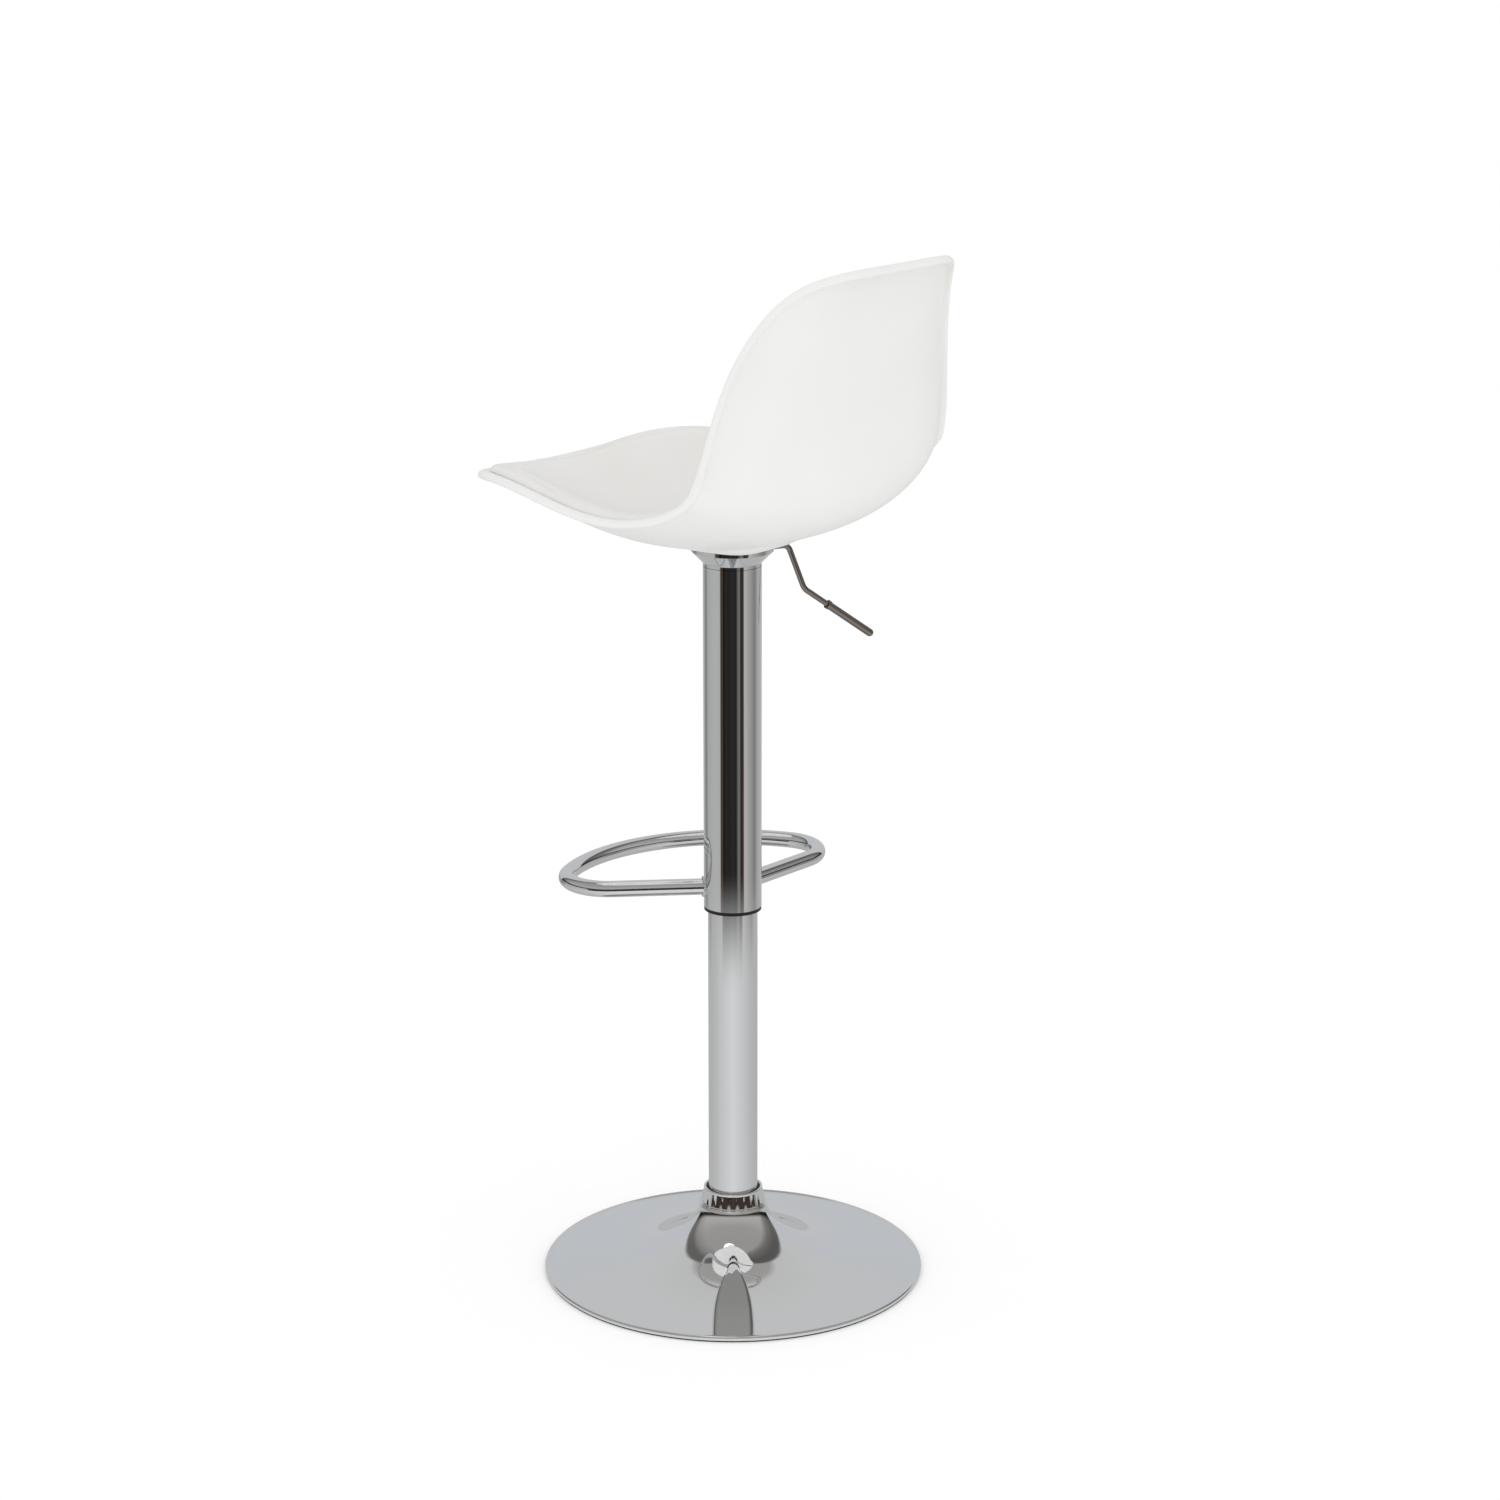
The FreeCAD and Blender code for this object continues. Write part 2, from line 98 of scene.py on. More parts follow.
def makePiece(name, points, faces, body, material):
    mesh = bpy.data.meshes.new(name)
    mesh.from_pydata([tuple(p) for p in points], [], [tuple(f) for f in faces])
    mesh.validate()
    mesh.shade_smooth()
    mesh.materials.append(material)
    piece = bpy.data.objects.new(name, mesh)
    bpy.context.scene.collection.objects.link(piece)
    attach(piece, body)
    return piece


def arcPoints(centreRadius, centreHeight, size, start, sweep, steps):
    # part of a circle in an outline's plane, from start over sweep degrees
    turns = [math.radians(start + sweep * i / steps) for i in range(steps + 1)]
    return [(centreRadius + size * math.cos(turn), centreHeight + size * math.sin(turn)) for turn in turns]


def turnedPiece(name, profile, turns, body, material, dent=None):
    # closed outline of (radius, height) pairs in mm, spun about the column axis
    points, faces = [], []
    count = len(profile)
    for i in range(turns):
        angle = 2 * math.pi * i / turns
        for radius, height in profile:
            reach = (radius - (dent(angle, radius, height) if dent else 0.0)) * mm
            points.append((reach * math.cos(angle), reach * math.sin(angle), height * mm))
    for i in range(turns):
        here, ahead = i * count, (i + 1) % turns * count
        for j in range(count):
            k = (j + 1) % count
            faces.append((here + j, ahead + j, ahead + k, here + k))
    return makePiece(name, points, faces, body, material)


def chromePlatedSteel(name, tint, roughness, ripple):
    # steel polished, then nickel and chromium plated: a mirror with a faint waviness and hairlines
    look = {"hairlineWidth": 0.5, "waveLength": 60.0, "hazeSize": 25.0,  # mm
            "hairlineStretch": 50}  # a hairline's length over its width
    material, tree, surface = newMaterial(name, {"Base Color": toLinear(tint), "Metallic": 1.0})
    place = addNode(tree, "ShaderNodeTexCoord").outputs["Object"]
    haze = addNode(tree, "ShaderNodeTexNoise",
                   {"Scale": 1000 / look["hazeSize"], "Detail": 4.0, "Roughness": 0.6}, {"Vector": place})
    spread = addNode(tree, "ShaderNodeMapRange",
                     {"From Min": 0.3, "From Max": 0.75, "To Min": roughness * 0.6,
                      "To Max": roughness * 1.6},
                     {"Value": haze.outputs["Fac"]})
    tree.links.new(spread.outputs["Result"], surface.inputs["Roughness"])
    wave = addNode(tree, "ShaderNodeTexNoise", {"Scale": 1000 / look["waveLength"], "Detail": 1.0},
                   {"Vector": place})
    stretched = addNode(tree, "ShaderNodeMapping", {"Scale": (1.0, 1.0, 1 / look["hairlineStretch"])},
                        {"Vector": place})
    hair = addNode(tree, "ShaderNodeTexNoise", {"Scale": 1000 / look["hairlineWidth"], "Detail": 2.0},
                   {"Vector": stretched.outputs["Vector"]})
    first = addNode(tree, "ShaderNodeBump", {"Strength": ripple, "Distance": 0.0003},
                    {"Height": wave.outputs["Fac"]})
    second = addNode(tree, "ShaderNodeBump", {"Strength": 0.03, "Distance": 0.00002},
                     {"Height": hair.outputs["Fac"], "Normal": first.outputs["Normal"]})
    tree.links.new(second.outputs["Normal"], surface.inputs["Normal"])
    return material


def speckled(name, base, other, grainSize, metallic, roughness, bump, ior=1.5):
    # one way for the plain finishes: two close tones, uneven gloss and a fine grain (mm)
    look = {"cloudToGrain": 40, "bumpToGrain": 0.3, "glossSpread": 0.12}
    material, tree, surface = newMaterial(name, {"Metallic": metallic, "IOR": ior})
    place = addNode(tree, "ShaderNodeTexCoord").outputs["Object"]
    grain = addNode(tree, "ShaderNodeTexNoise",
                    {"Scale": 1000 / grainSize, "Detail": 6.0, "Roughness": 0.65}, {"Vector": place})
    cloud = addNode(tree, "ShaderNodeTexNoise",
                    {"Scale": 1000 / (grainSize * look["cloudToGrain"]), "Detail": 3.0}, {"Vector": place})
    tone = addNode(tree, "ShaderNodeValToRGB", {"stops": [(0.3, toLinear(base)), (0.7, toLinear(other))]},
                   {"Fac": cloud.outputs["Fac"]})
    tree.links.new(tone.outputs["Color"], surface.inputs["Base Color"])
    spread = addNode(tree, "ShaderNodeMapRange",
                     {"From Min": 0.35, "From Max": 0.65, "To Min": roughness * (1 - look["glossSpread"]),
                      "To Max": roughness * (1 + look["glossSpread"])},
                     {"Value": cloud.outputs["Fac"]})
    tree.links.new(spread.outputs["Result"], surface.inputs["Roughness"])
    rough = addNode(tree, "ShaderNodeBump",
                    {"Strength": bump, "Distance": grainSize * mm * look["bumpToGrain"]},
                    {"Height": grain.outputs["Fac"]})
    tree.links.new(rough.outputs["Normal"], surface.inputs["Normal"])
    return material


def syntheticLeather():
    # white polyurethane leather: a pebbled grain of closed cells with fine creases, soft sheen
    look = {"pebble": 1.3, "crease": 9.0, "cloud": 120.0,  # mm; real pebbles are near 0.8
            "tones": ("#e7e6e3", "#eae9e7")}
    material, tree, surface = newMaterial("whiteSyntheticLeather",
                                          {"IOR": 1.5, "Sheen Weight": 0.06, "Sheen Roughness": 0.4})
    place = addNode(tree, "ShaderNodeTexCoord").outputs["Object"]
    cloud = addNode(tree, "ShaderNodeTexNoise", {"Scale": 1000 / look["cloud"], "Detail": 3.0},
                    {"Vector": place})
    dark, pale = map(toLinear, look["tones"])
    tone = addNode(tree, "ShaderNodeValToRGB", {"stops": [(0.3, dark), (0.7, pale)]},
                   {"Fac": cloud.outputs["Fac"]})
    tree.links.new(tone.outputs["Color"], surface.inputs["Base Color"])
    pebble = addNode(tree, "ShaderNodeTexVoronoi",
                     {"feature": "SMOOTH_F1", "Scale": 1000 / look["pebble"], "Smoothness": 0.55},
                     {"Vector": place})
    crease = addNode(tree, "ShaderNodeTexNoise",
                     {"Scale": 1000 / look["crease"], "Detail": 5.0, "Distortion": 0.6}, {"Vector": place})
    first = addNode(tree, "ShaderNodeBump", {"Strength": 0.16, "Distance": 0.00012, "invert": True},
                    {"Height": pebble.outputs["Distance"]})
    second = addNode(tree, "ShaderNodeBump", {"Strength": 0.12, "Distance": 0.0005},
                     {"Height": crease.outputs["Fac"], "Normal": first.outputs["Normal"]})
    tree.links.new(second.outputs["Normal"], surface.inputs["Normal"])
    gloss = addNode(tree, "ShaderNodeMapRange",
                    {"From Min": 0.2, "From Max": 0.8, "To Min": 0.40, "To Max": 0.52},
                    {"Value": crease.outputs["Fac"]})
    tree.links.new(gloss.outputs["Result"], surface.inputs["Roughness"])
    return material


def mouldedPolypropylene():
    # injection moulded, satin: a fine spark-eroded grain, faint flow clouds, a little light goes in
    look = {"grain": 0.9, "flow": 90.0,  # mm; the real grain is near 0.2 and would not show
            "tones": ("#ededeb", "#efefed")}
    material, tree, surface = newMaterial("whitePolypropylene",
                                          {"IOR": 1.49, "Subsurface Weight": 0.06, "Subsurface Scale": 0.004,
                                           "Subsurface Radius": (1.0, 0.9, 0.8)})
    place = addNode(tree, "ShaderNodeTexCoord").outputs["Object"]
    flow = addNode(tree, "ShaderNodeTexNoise",
                   {"Scale": 1000 / look["flow"], "Detail": 3.0, "Distortion": 0.4}, {"Vector": place})
    dark, pale = map(toLinear, look["tones"])
    tone = addNode(tree, "ShaderNodeValToRGB", {"stops": [(0.3, dark), (0.7, pale)]},
                   {"Fac": flow.outputs["Fac"]})
    tree.links.new(tone.outputs["Color"], surface.inputs["Base Color"])
    gloss = addNode(tree, "ShaderNodeMapRange",
                    {"From Min": 0.3, "From Max": 0.7, "To Min": 0.36, "To Max": 0.43},
                    {"Value": flow.outputs["Fac"]})
    tree.links.new(gloss.outputs["Result"], surface.inputs["Roughness"])
    grain = addNode(tree, "ShaderNodeTexNoise",
                    {"Scale": 1000 / look["grain"], "Detail": 4.0, "Roughness": 0.7}, {"Vector": place})
    bump = addNode(tree, "ShaderNodeBump", {"Strength": 0.05, "Distance": 0.00008},
                   {"Height": grain.outputs["Fac"]})
    tree.links.new(bump.outputs["Normal"], surface.inputs["Normal"])
    return material


chrome = chromePlatedSteel("chromePlatedSteel", "#e6e7e8", 0.035, 0.3)
tubeChrome = chromePlatedSteel("chromePlatedTube", "#e4e5e6", 0.03, 0.10)
rodChrome = chromePlatedSteel("groundHardChrome", "#d2d2d0", 0.12, 0.05)
leverNickel = chromePlatedSteel("smokedBrightNickel", "#948c87", 0.05, 0.05)
polypropylene = mouldedPolypropylene()
leather = syntheticLeather()
# spun thread: soft, slightly fuzzy highlights
thread = speckled("whitePolyesterThread", "#ecebe7", "#f2f1ee", 0.4, 0.0, 0.55, 0.5)
# straight from the mould: a dull black that barely mirrors
rubber = speckled("mouldedBlackRubber", "#0b0b0b", "#121212", 0.6, 0.0, 0.62, 0.25, 1.52)
# hard and slippery: a low even gloss
acetal = speckled("mouldedBlackAcetal", "#101011", "#151516", 0.5, 0.0, 0.38, 0.10, 1.48)
# baked powder: a fine orange peel
powderCoat = speckled("blackPowderCoat", "#131314", "#1a1a1b", 0.7, 0.0, 0.45, 0.35)
# passivated zinc: a pale cloudy metal
zinc = speckled("brightZincPlate", "#a9abac", "#b9bab8", 0.6, 1.0, 0.28, 0.12)
# turned or drawn: greyer, with a satin gloss
steel = speckled("brightMildSteel", "#8d8e90", "#9b9b9c", 0.5, 1.0, 0.32, 0.15)
# as cast in sand: dark and coarse
iron = speckled("rawCastIron", "#3b3a3a", "#484645", 1.2, 1.0, 0.66, 0.55)

slotMaterials = {
    "chrome_sheet": chrome, "chrome_tube": tubeChrome, "chrome_rod": rodChrome, "plain_steel": steel,
    "cast_ballast": iron, "black_painted_steel": powderCoat, "black_rubber": rubber,
    "black_plastic": acetal, "white_shell": polypropylene, "white_cover": leather, "zinc_steel": zinc,
}
nodeMaterials = {part["node"]: slotMaterials[part["material_slot"]] for part in frame["record"]["subparts"]}
nodeMaterials["lever_rod"] = nodeMaterials["lever_grip"] = leverNickel  # darker than the tubes
for name, material in nodeMaterials.items():
    for slot in nodes[name].material_slots:
        slot.material = material
print("materials made")


# the seat's dish, mm: distance back from the axis and height over the seat plate along the middle,
# then half width and how far the wings rise, front to top, by the same law as the design's dish
seatForm = {
    "spine": [(-233, 66), (-160, 35), (-56, 7.5), (60, 12), (161, 69), (173, 201), (208, 301)],
    "halfWidth": [189, 195, 205, 203, 177],
    "wingRise": [17, 57, 55, 65, 4],
    "wingPower": 2.3,
    "frontSquareness": 5.0,
    "topSquareness": 3.5,
    "rimCount": 400,  # points round the outline
}
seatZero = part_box("seat_plate")[1][2]


def smoothLaw(values):
    # cubic through evenly spaced values, with not-a-knot ends
    y = np.asarray(values, float)
    n = len(y)
    h = 1.0 / (n - 1)
    system = np.zeros((n, n))
    right = np.zeros(n)
    for i in range(1, n - 1):
        system[i, i - 1:i + 2] = (1, 4, 1)
        right[i] = 6 * (y[i + 1] - 2 * y[i] + y[i - 1]) / h ** 2
    system[0, :3] = (1, -2, 1)
    system[-1, -3:] = (1, -2, 1)
    curve = np.linalg.solve(system, right)

    def value(t, order=0):
        t = np.asarray(t, float)
        k = np.clip((t / h).astype(int), 0, n - 2)
        a = (k + 1) * h - t
        b = t - k * h
        if order == 0:
            return ((curve[k] * a ** 3 + curve[k + 1] * b ** 3) / (6 * h)
                    + (y[k] / h - curve[k] * h / 6) * a + (y[k + 1] / h - curve[k + 1] * h / 6) * b)
        return ((curve[k + 1] * b ** 2 - curve[k] * a ** 2) / (2 * h)
                + (y[k + 1] - y[k]) / h - (curve[k + 1] - curve[k]) * h / 6)
    return value


spineBack = smoothLaw([back for back, height in seatForm["spine"]])
spineHeight = smoothLaw([height for back, height in seatForm["spine"]])
widthLaw = smoothLaw(seatForm["halfWidth"])
riseLaw = smoothLaw(seatForm["wingRise"])


def roundedSquare(a, b):
    front, top = seatForm["frontSquareness"], seatForm["topSquareness"]
    squareness = front + (top - front) * (b + 1) / 2
    trim = 2 / (squareness + 2)
    return a * np.sqrt(1 - trim * np.abs(b) ** squareness), b * np.sqrt(1 - trim * np.abs(a) ** squareness)


def dishPoint(across, along):
    # across and along run from -1 to 1: side to side, and from the front to the top of the back
    t = (along + 1) / 2
    wayBack, wayUp = spineBack(t, 1), spineHeight(t, 1)
    size = np.hypot(wayBack, wayUp)
    rise = riseLaw(t) * np.abs(across) ** seatForm["wingPower"]
    place = np.stack([across * widthLaw(t), spineBack(t) - wayUp / size * rise,
                      spineHeight(t) + wayBack / size * rise], -1)
    return place * mm + np.array([0, 0, seatZero])


def unit(v):
    return v / np.linalg.norm(v, axis=-1, keepdims=True)


def dishNormal(across, along):
    step = 0.01
    along = np.clip(along, step - 1, 1 - step)
    acrossWay = dishPoint(across + step, along) - dishPoint(across - step, along)
    alongWay = dishPoint(across, along + step) - dishPoint(across, along - step)
    return unit(np.cross(acrossWay, alongWay))


def rimShares(count, fineSteps=4000):
    # evenly spaced places round the outline, from the front's middle, anticlockwise from above
    turn = np.linspace(0, 2 * np.pi, fineSteps, endpoint=False)
    side = np.stack([np.sin(turn), -np.cos(turn)], -1)
    side /= np.abs(side).max(axis=1, keepdims=True)
    across, along = roundedSquare(side[:, 0], side[:, 1])
    place = dishPoint(across, along)
    run = np.concatenate([[0], np.cumsum(np.linalg.norm(np.diff(place, axis=0, append=place[:1]), axis=1))])
    want = np.linspace(0, run[-1], count, endpoint=False)
    return [np.interp(want, run, np.append(part, part[0])) for part in (across, along)]


def rimReach(share=0.02):
    # metres per share of the way from the rim to the dish's middle, measured just inside the rim
    inner = dishPoint(rimAcross * (1 - share), rimAlong * (1 - share))
    return np.linalg.norm(dishPoint(rimAcross, rimAlong) - inner, axis=-1) / share


rimAcross, rimAlong = rimShares(seatForm["rimCount"])
rimDepth = rimReach()


def insetShares(inset):
    # the rim's places moved inset (mm) towards the middle
    share = 1 - inset * mm / rimDepth
    return rimAcross * share, rimAlong * share


def insetRing(inset, lift):
    # ring of points inset (mm) from the rim along the dish and lift (mm) over it
    across, along = insetShares(inset)
    return dishPoint(across, along) + dishNormal(across, along) * (lift * mm)


def discRings(ringCount, startInset, lift, crowding=1.05):
    # rings from startInset (mm) to the middle, lift (mm) over the dish, a little closer at the rim
    acrossStart, alongStart = insetShares(startInset)
    rings = []
    for i in range(1, ringCount):
        share = 1 - (i / ringCount) ** crowding
        across, along = acrossStart * share, alongStart * share
        rings.append(dishPoint(across, along) + dishNormal(across, along) * lift * mm)
    middle = np.zeros(1)
    pole = dishPoint(middle, middle) + dishNormal(middle, middle) * lift * mm
    return rings, pole[0]


def ringSkin(rings, firstPole, lastPole):
    # quads between rings, closed by a fan at each pole
    count = len(rings[0])
    points = [firstPole] + [point for ring in rings for point in ring] + [lastPole]
    lastRing = 1 + (len(rings) - 1) * count
    faces = []
    for k in range(count):
        j = (k + 1) % count
        faces.append((0, 1 + k, 1 + j))
        faces.append((len(points) - 1, lastRing + j, lastRing + k))
    for low in range(1, lastRing, count):
        high = low + count
        for k in range(count):
            j = (k + 1) % count
            faces.append((low + k, high + k, high + j, low + j))
    return points, faces


def smoothStep(share):
    return share * share * (3 - 2 * share)


def seatShell():
    # one moulding with a lip that rolls over the rim, and a soft pad below round the seat plate
    look = {
        "ringCount": 44, "padPower": 4,  # a higher power squares the pad's outline
        "wall": 4.0, "lipStart": 19, "padBlend": 30, "padRoom": 0.6,  # mm
        # lip section: inset from the rim and depth under the dish, mm
        "lip": [(19, 0), (15, 0), (11, 0), (8, 0.1), (5.5, 0.5), (3.4, 1.2), (1.7, 2.3), (0.5, 3.8),
                (0, 5.4), (0.3, 7.0), (1.3, 8.5), (2.9, 9.5), (4.6, 9.8), (6.0, 9.5), (6.8, 8.6),
                (7.2, 7.0), (7.4, 5.4), (8.0, 4.4), (9.5, 4.1), (12, 4.0), (15, 4.0), (19, 4.0)],
    }
    top, topPole = discRings(look["ringCount"], look["lipStart"], 0.0)
    under, underPole = discRings(look["ringCount"], look["lipStart"], -look["wall"])
    low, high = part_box("seat_plate")
    half = (high[0] - low[0]) / 2
    blend, power = look["padBlend"] * mm, look["padPower"]
    for row in under + [underPole[None, :]]:
        reach = (np.abs(row[:, 0]) ** power + np.abs(row[:, 1]) ** power) ** (1 / power)
        share = smoothStep(np.clip((half + blend - reach) / blend, 0, 1))
        row[:, 2] -= share * np.maximum(row[:, 2] - low[2] - look["padRoom"] * mm, 0)
    lip = [insetRing(inset, -depth) for inset, depth in look["lip"]]
    points, faces = ringSkin(top[::-1] + lip + under, topPole, underPole)
    shell = makePiece("seatShellMoulding", points, faces, "seat_column", polypropylene)
    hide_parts("seat_shell")


def seatCushion():
    # foam in a sewn cover: flat below, blown up a little on top, with a stitched seam near its edge
    look = {
        "edgeInset": 11.5, "topInset": 9.0, "gap": 0.2, "height": 13.0,  # mm
        "topStart": 0.1, "topRun": 0.8,  # where the extra inset begins and its run, along the dish
        "ringCount": 40,
        # edge section from the top out and down: inset past the cushion's edge and height over the
        # dish, mm; two more points at the gap close it below
        "section": [(22.0, 12.8), (19.0, 12.5), (16.6, 12.2), (14.8, 11.9), (13.8, 11.7), (13.0, 11.6),
                    (12.2, 11.5), (11.2, 11.3), (9.4, 10.8), (7.2, 10.0), (4.8, 8.9), (2.6, 7.6),
                    (0.9, 6.0), (0.0, 4.2), (-0.3, 2.2), (0.0, 0.8)],
        "footInsets": (0.8, 3.0),
        "freeRows": 12,  # rows of the section that the air may move
        "pressure": 2.5, "cap": 3.0, "quality": 4, "steps": 20,
        "seamInset": 13.0, "seamDepth": 1.3, "seamWidth": 1.6,  # mm
        "seamFall": 1.6, "seamReach": 1.6,  # how fast the groove runs out, and how many widths away
    }
    climb = smoothStep(np.clip((rimAlong - look["topStart"]) / look["topRun"], 0, 1))
    edge = look["edgeInset"] + look["topInset"] * climb
    section = look["section"] + [(inset, look["gap"]) for inset in look["footInsets"]]
    over, overPole = discRings(look["ringCount"], edge + section[0][0], look["height"])
    under, underPole = discRings(look["ringCount"] // 2, edge + section[-1][0], look["gap"])
    sides = [insetRing(edge + inset, height) for inset, height in section]
    points, faces = ringSkin(over[::-1] + sides + under, overPole, underPole)
    cushion = makePiece("seatCushionCover", points, faces, "seat_column", leather)
    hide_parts("seat_cushion")
    count = seatForm["rimCount"]
    inflate(cushion, 1 + (len(over) + look["freeRows"]) * count, look)
    # the sewn line is a narrow groove along the section's row at the seam
    place = readPoints(cushion.data)
    for r, (inset, height) in enumerate(section):
        away = abs(inset - look["seamInset"]) / look["seamWidth"]
        start = 1 + (len(over) + r) * count
        if away <= look["seamReach"]:
            groove = dishNormal(*insetShares(edge + inset)) * look["seamDepth"] * mm
            place[start:start + count] -= groove * math.exp(-away * away * look["seamFall"])
        if away == 0:
            seam = place[start:start + count]
    writePoints(cushion.data, place)
    stitching(seam)


def readPoints(mesh):
    flat = np.empty(len(mesh.vertices) * 3)
    mesh.vertices.foreach_get("co", flat)
    return flat.reshape(-1, 3)


def writePoints(mesh, place):
    mesh.vertices.foreach_set("co", place.ravel())
    mesh.update()


def inflate(cushion, freeCount, look):
    # cloth under a little air pressure; the edge and the underside, from freeCount on, stay put
    before = readPoints(cushion.data)
    held = cushion.vertex_groups.new(name="held")
    held.add(list(range(freeCount, len(before))), 1.0, "REPLACE")
    cloth = cushion.modifiers.new("cloth", "CLOTH")
    cloth.settings.vertex_group_mass = "held"
    cloth.settings.use_pressure = True
    cloth.settings.uniform_pressure_force = look["pressure"]
    cloth.settings.effector_weights.gravity = 0.0
    cloth.settings.quality = look["quality"]
    cloth.collision_settings.use_collision = False
    scene = bpy.context.scene
    for step in range(1, look["steps"] + 1):
        scene.frame_set(step)
    blown = cushion.evaluated_get(bpy.context.evaluated_depsgraph_get())
    move = readPoints(blown.to_mesh()) - before
    blown.to_mesh_clear()
    cushion.modifiers.remove(cloth)
    scene.frame_set(1)
    size = np.linalg.norm(move, axis=1, keepdims=True)
    move *= np.minimum(1.0, look["cap"] * mm / np.maximum(size, 1e-9))
    writePoints(cushion.data, before + move)
    print("cushion blown up, largest move", round(float(size.max() / mm), 2), "mm before the cap")


def stitching(line):
    # lockstitch in thick thread along the seam, one short raised bar per stitch
    look = {"pitch": 4.2, "length": 3.1, "thread": 0.42, "lift": -0.05, "bow": 0.35,  # mm
            "endShare": 0.55, "sides": 6, "steps": 5,
            "facing": 0.25}  # metres over the plate, where the stitches' outer sides face
    sides, steps = look["sides"], look["steps"]
    run = np.linalg.norm(np.roll(line, -1, axis=0) - line, axis=1)
    total = run.sum()
    count = int(total / (look["pitch"] * mm))
    ends = np.concatenate([[0], np.cumsum(run)])
    closed = np.vstack([line, line[:1]])
    middle = np.array([0.0, 0.0, seatZero + look["facing"]])
    points, faces = [], []
    for i in range(count):
        centre = total * (i + 0.5) / count
        half = look["length"] * mm / 2
        way = np.linspace(centre - half, centre + half, steps)
        spine = np.stack([np.interp(way % total, ends, closed[:, k]) for k in range(3)], -1)
        ahead = unit(spine[-1] - spine[0])
        out = unit(middle - spine[steps // 2])
        out = unit(out - ahead * (out @ ahead))
        beside = np.cross(ahead, out)
        base = len(points)
        for s, spot in enumerate(spine):
            bow = math.sin(math.pi * s / (steps - 1))
            thick = look["thread"] * mm * (look["endShare"] + (1 - look["endShare"]) * bow)
            lifted = spot + out * (look["lift"] + look["bow"] * bow) * mm
            for k in range(sides):
                turn = 2 * math.pi * k / sides
                points.append(lifted + (beside * math.cos(turn) + out * math.sin(turn)) * thick)
        top = base + (steps - 1) * sides
        for a in range(base, top, sides):
            for k in range(sides):
                j = (k + 1) % sides
                faces.append((a + k, a + j, a + sides + j, a + sides + k))
        faces.append([base + k for k in reversed(range(sides))])
        faces.append([top + k for k in range(sides)])
    makePiece("seatSeamStitches", points, faces, "seat_column", thread)
    print("stitches", count)


seatShell()
seatCushion()
print("seat made")


def cubicThrough(knots, values, wanted):
    # natural cubic spline through uneven knots
    n = len(knots)
    gap = np.diff(knots)
    system = np.eye(n)
    right = np.zeros(n)
    for i in range(1, n - 1):
        system[i, i - 1:i + 2] = (gap[i - 1], 2 * (gap[i - 1] + gap[i]), gap[i])
        right[i] = 6 * ((values[i + 1] - values[i]) / gap[i] - (values[i] - values[i - 1]) / gap[i - 1])
    curve = np.linalg.solve(system, right)
    k = np.clip(np.searchsorted(knots, wanted) - 1, 0, n - 2)
    a, b, h = knots[k + 1] - wanted, wanted - knots[k], gap[k]
    return ((curve[k] * a ** 3 + curve[k + 1] * b ** 3) / (6 * h)
            + (values[k] / h - curve[k] * h / 6) * a + (values[k + 1] / h - curve[k + 1] * h / 6) * b)


def baseShell():
    # pressed trumpet with a rolled rim, finely turned so that reflections run smoothly
    look = {
        # radius and height of the trumpet's upper face, mm
        "slope": [(192.5, 4.8), (150, 9.2), (115, 15.2), (85, 25), (65, 35.8), (51, 46), (41, 57),
                  (35.4, 67), (33.3, 76)],
        "radius": 200.0, "height": 6.0, "sheet": 1.5, "foot": 1.6, "edgeBreak": 0.3,
        "bead": 2.2, "beadStart": -10, "beadSweep": 130, "beadSteps": 12,
        "shoulder": [(4.6, 1.1), (5.8, 1.45)],  # in from the rim and down from the bead's top
        "steps": 90, "fineSteps": 400, "turns": 256,
    }
    knots = np.array(look["slope"])
    run = np.concatenate([[0], np.cumsum(np.hypot(*np.diff(knots, axis=0).T))])
    share = np.linspace(0, run[-1], look["fineSteps"])
    keep = np.unique(np.linspace(0, look["fineSteps"] - 1, look["steps"]).astype(int))
    slope = np.stack([cubicThrough(run, knots[:, k], share) for k in range(2)], -1)[keep]
    ahead = unit(np.gradient(slope, axis=0))
    under = slope - np.stack([ahead[:, 1], -ahead[:, 0]], -1) * look["sheet"]
    radius, height, foot, bead = look["radius"], look["height"], look["foot"], look["bead"]
    inner = radius - look["sheet"]
    profile = [(inner, foot), (radius - look["edgeBreak"], foot), (radius, foot + look["edgeBreak"])]
    profile += arcPoints(radius - bead, height - bead, bead,
                         look["beadStart"], look["beadSweep"], look["beadSteps"])
    profile += [(radius - inward, height - down) for inward, down in look["shoulder"]]
    profile += [*slope, *under[::-1], (inner, under[0][1])]
    trumpet = turnedPiece("baseTrumpet", profile, look["turns"], "base", chrome)
    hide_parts("base_shell")


